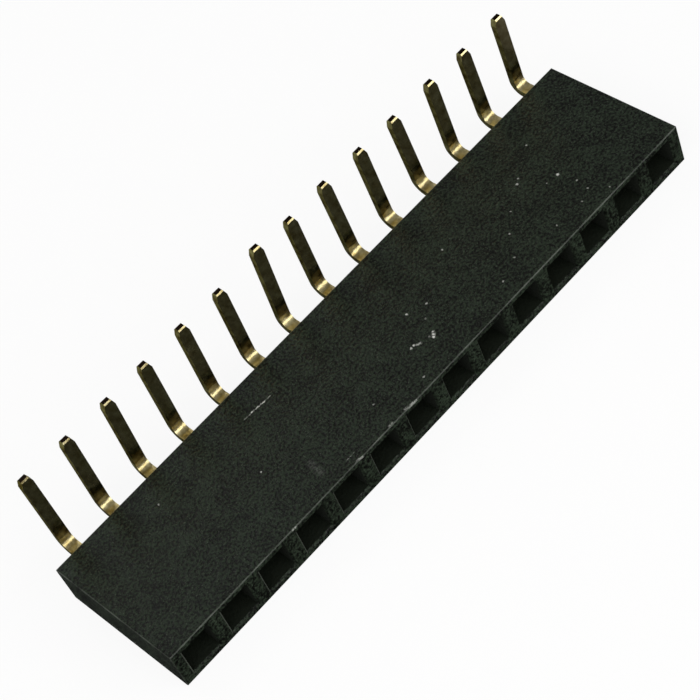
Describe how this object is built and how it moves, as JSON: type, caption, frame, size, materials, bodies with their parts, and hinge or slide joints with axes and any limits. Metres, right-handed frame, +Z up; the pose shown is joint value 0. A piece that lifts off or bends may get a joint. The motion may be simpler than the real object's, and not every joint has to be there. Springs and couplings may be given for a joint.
{
  "type": "female pin header strip",
  "caption": "Right-angle socket strip: a row of square mouths that take header pins, with solder tails bent upright behind a black moulded housing.",
  "frame": {"origin": "middle of the bounding box at its base: the large face that the strip lies on is at Z = 0", "axes": "+X along the row of contacts, -Y out of the mating face that pins enter, +Z up along the tails, away from the face that the strip lies on"},
  "size_m": [0.036, 0.0096, 0.0075],
  "materials": {
    "black_moulding": "fine-grained black moulded plastic, half matt",
    "gold_flashed_metal": "thin gold flash over formed copper alloy, half bright"
  },
  "bodies": {
    "root": {"housing": "black_moulding", "contact_01": "gold_flashed_metal", "contact_02": "gold_flashed_metal", "contact_03": "gold_flashed_metal", "contact_04": "gold_flashed_metal", "contact_05": "gold_flashed_metal", "contact_06": "gold_flashed_metal", "contact_07": "gold_flashed_metal", "contact_08": "gold_flashed_metal", "contact_09": "gold_flashed_metal", "contact_10": "gold_flashed_metal", "contact_11": "gold_flashed_metal", "contact_12": "gold_flashed_metal", "contact_13": "gold_flashed_metal", "contact_14": "gold_flashed_metal"}
  },
  "joints": []
}
